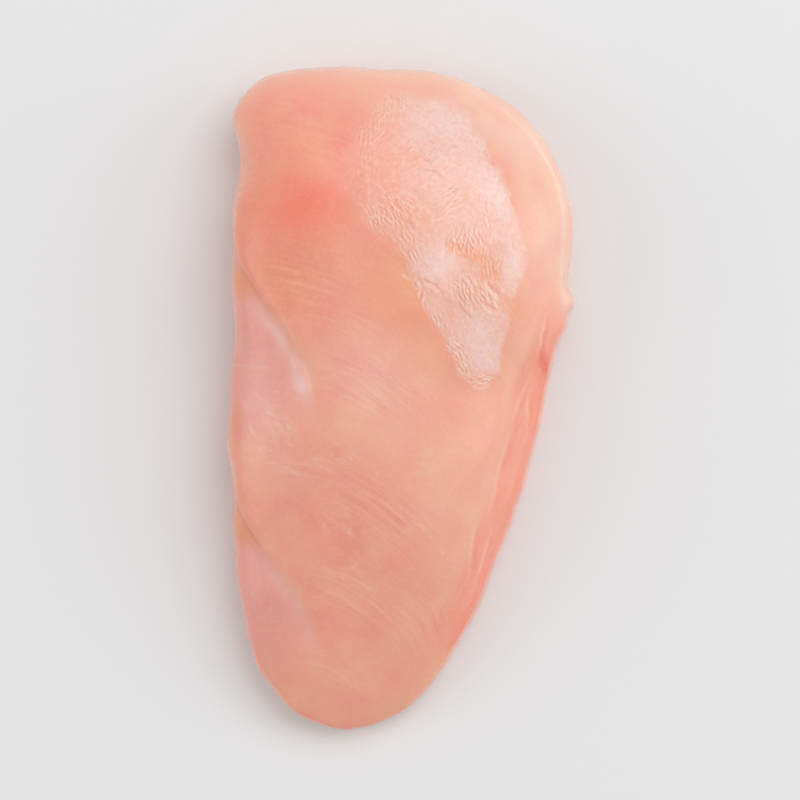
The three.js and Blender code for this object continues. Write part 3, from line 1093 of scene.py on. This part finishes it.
# %% Flecks of fat
FLECK_CELLS, RAGGED_CELLS = 150.0, 900.0  # cells in a metre
RAGGED = 0.9 * MM  # how far the flecks' edges are pushed about
FLECK_SHARE = 0.035  # of all cells
ragged = node("TexNoise", noise_dimensions="3D")
plug(position, ragged.inputs["Vector"])
ragged.inputs["Scale"].default_value = RAGGED_CELLS
offset = node("VectorMath", operation="MULTIPLY_ADD")
plug(ragged.outputs["Color"], offset.inputs[0])
offset.inputs[1].default_value = (RAGGED, RAGGED, RAGGED)
plug(position, offset.inputs[2])
cells = node("TexVoronoi", voronoi_dimensions="3D", feature="F1")
plug(offset.outputs[0], cells.inputs["Vector"])
cells.inputs["Scale"].default_value = FLECK_CELLS
dice = node("SeparateColor")
plug(cells.outputs["Color"], dice.inputs[0])
fleck_size = calc("MULTIPLY", dice.outputs[1], 0.07)
inside = between(calc("SUBTRACT", cells.outputs["Distance"], fleck_size), 0.0, 0.04, 1.0, 0.0)
fleck = calc("MULTIPLY", inside, calc("GREATER_THAN", dice.outputs[0], 1 - FLECK_SHARE))
colour = blend(calc("MULTIPLY", fleck, 0.3), colour, screen(255, 226, 200))

# %% [markdown]
# The finest relief is too small for the mesh, so two bump nodes fake it: one for the flesh and a
# weaker one for the moisture over it, which fills the pores a little. Inside the flesh red light
# travels about three millimetres, and green and blue light about one.

# %% Fine relief, shine and translucency
skin_pores = grain((x_mm, y_mm, z_mm), (1.6, 1.6, 1.6), 3.0, 0.6)
fibre_depth = calc("MULTIPLY", plain_muscle, between(thread_groups, 0.0, 0.6, 0.25, 1.0))
fine_height = calc("ADD", calc("MULTIPLY", stripe_noise, fibre_depth), calc("MULTIPLY", skin_pores, 0.35))


def bumps(label, strength):
    """Turns the fine height into small tilts of the surface."""
    made = node("Bump", label)
    plug(fine_height, made.inputs["Height"])
    made.inputs["Strength"].default_value = strength
    made.inputs["Distance"].default_value = 0.25 * MM
    return made.outputs[0]


flesh = node("BsdfPrincipled", "moist translucent flesh")
plug(colour, flesh.inputs["Base Color"])
plug(bumps("fine relief", 0.45), flesh.inputs["Normal"])
plug(between(on_membrane, 0.0, 1.0, 0.44, 0.38), flesh.inputs["Roughness"])
flesh.inputs["Subsurface Weight"].default_value = 0.5
flesh.inputs["Subsurface Radius"].default_value = (1.0, 0.42, 0.25)
flesh.inputs["Subsurface Scale"].default_value = 3.0 * MM
plug(layer("wetness"), flesh.inputs["Coat Weight"])
flesh.inputs["Coat Roughness"].default_value = 0.1
plug(bumps("uneven moisture", 0.3), flesh.inputs["Coat Normal"])
plug(flesh.outputs[0], node("OutputMaterial").inputs["Surface"])

breast.data.materials.clear()
breast.data.materials.append(meat)
print("material nodes:", len(tree.nodes))

# %% [markdown]
# ## Floor, light and camera
#
# The floor is plain and pale. The photograph was taken from straight above with soft light from
# the upper right, so a large soft lamp stands there. A low one beside it brings out the ripples, a
# weaker one stands opposite, and the sky is an even white.

# %% Floor
FLOOR_HALF = 6.0  # metres, so that its end never shows


def pale_floor():
    mesh = bpy.data.meshes.new("floor")
    corners = [(x * FLOOR_HALF, y * FLOOR_HALF, 0) for x, y in ((-1, -1), (1, -1), (1, 1), (-1, 1))]
    mesh.from_pydata(corners, [], [(0, 1, 2, 3)])
    floor = into_scene("floor", mesh)
    floor.location.z = -0.05 * MM  # a hair below the meat, so that the two faces don't coincide
    paper = bpy.data.materials.new("pale floor")
    paper.use_nodes = True
    shader = paper.node_tree.nodes["Principled BSDF"]
    shader.inputs["Base Color"].default_value = screen(236, 236, 236)
    shader.inputs["Roughness"].default_value = 0.7
    mesh.materials.append(paper)
    return floor


pale_floor()

# %% Light
# Each lamp has its name, its place, its width in metres and its watts.
LAMPS = [
    ("main lamp", (0.94, 1.11, 1.96), 2.04, 22.2),
    ("low lamp", (2.3, 0.34, 1.02), 1.53, 11.6),
    ("fill lamp", (-2.21, -0.17, 1.02), 1.62, 12.1),
]
SKY_STRENGTH = 0.54


def soft_lamp(name, place, size, watts):
    lamp = bpy.data.lights.new(name, "AREA")
    lamp.shape = "DISK"
    lamp.size = size
    lamp.energy = watts
    thing = into_scene(name, lamp)
    thing.location = place
    thing.rotation_euler = (-Vector(place)).to_track_quat("-Z", "Y").to_euler()


for lamp in LAMPS:
    soft_lamp(*lamp)
print("lamps:", len(LAMPS))
world = bpy.data.worlds.new("even sky")
world.use_nodes = True
sky = world.node_tree.nodes["Background"]
sky.inputs["Color"].default_value = (1, 1, 1, 1)
sky.inputs["Strength"].default_value = SKY_STRENGTH
bpy.context.scene.world = world
bpy.context.scene.view_settings.view_transform = "Standard"

# %% Camera
FILLED = 0.84  # share of the picture's height that the breast fills
LENS, SENSOR = 135, 36  # mm, a long lens from far off, which shows hardly any perspective


def camera_above():
    eye = bpy.data.cameras.new("camera")
    eye.lens = LENS
    eye.sensor_width = SENSOR
    eye.clip_start = 0.01
    thing = into_scene("camera", eye)
    seen_height = LENGTH * MM / FILLED
    thing.location = (0, 0, seen_height * LENS / SENSOR + high.z / 2)
    bpy.context.scene.camera = thing
    print(f"camera {thing.location.z:.2f} m above the floor")


camera_above()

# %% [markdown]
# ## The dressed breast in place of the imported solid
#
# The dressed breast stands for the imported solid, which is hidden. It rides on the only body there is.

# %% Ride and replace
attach(breast, "root")
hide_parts("chicken_breast")
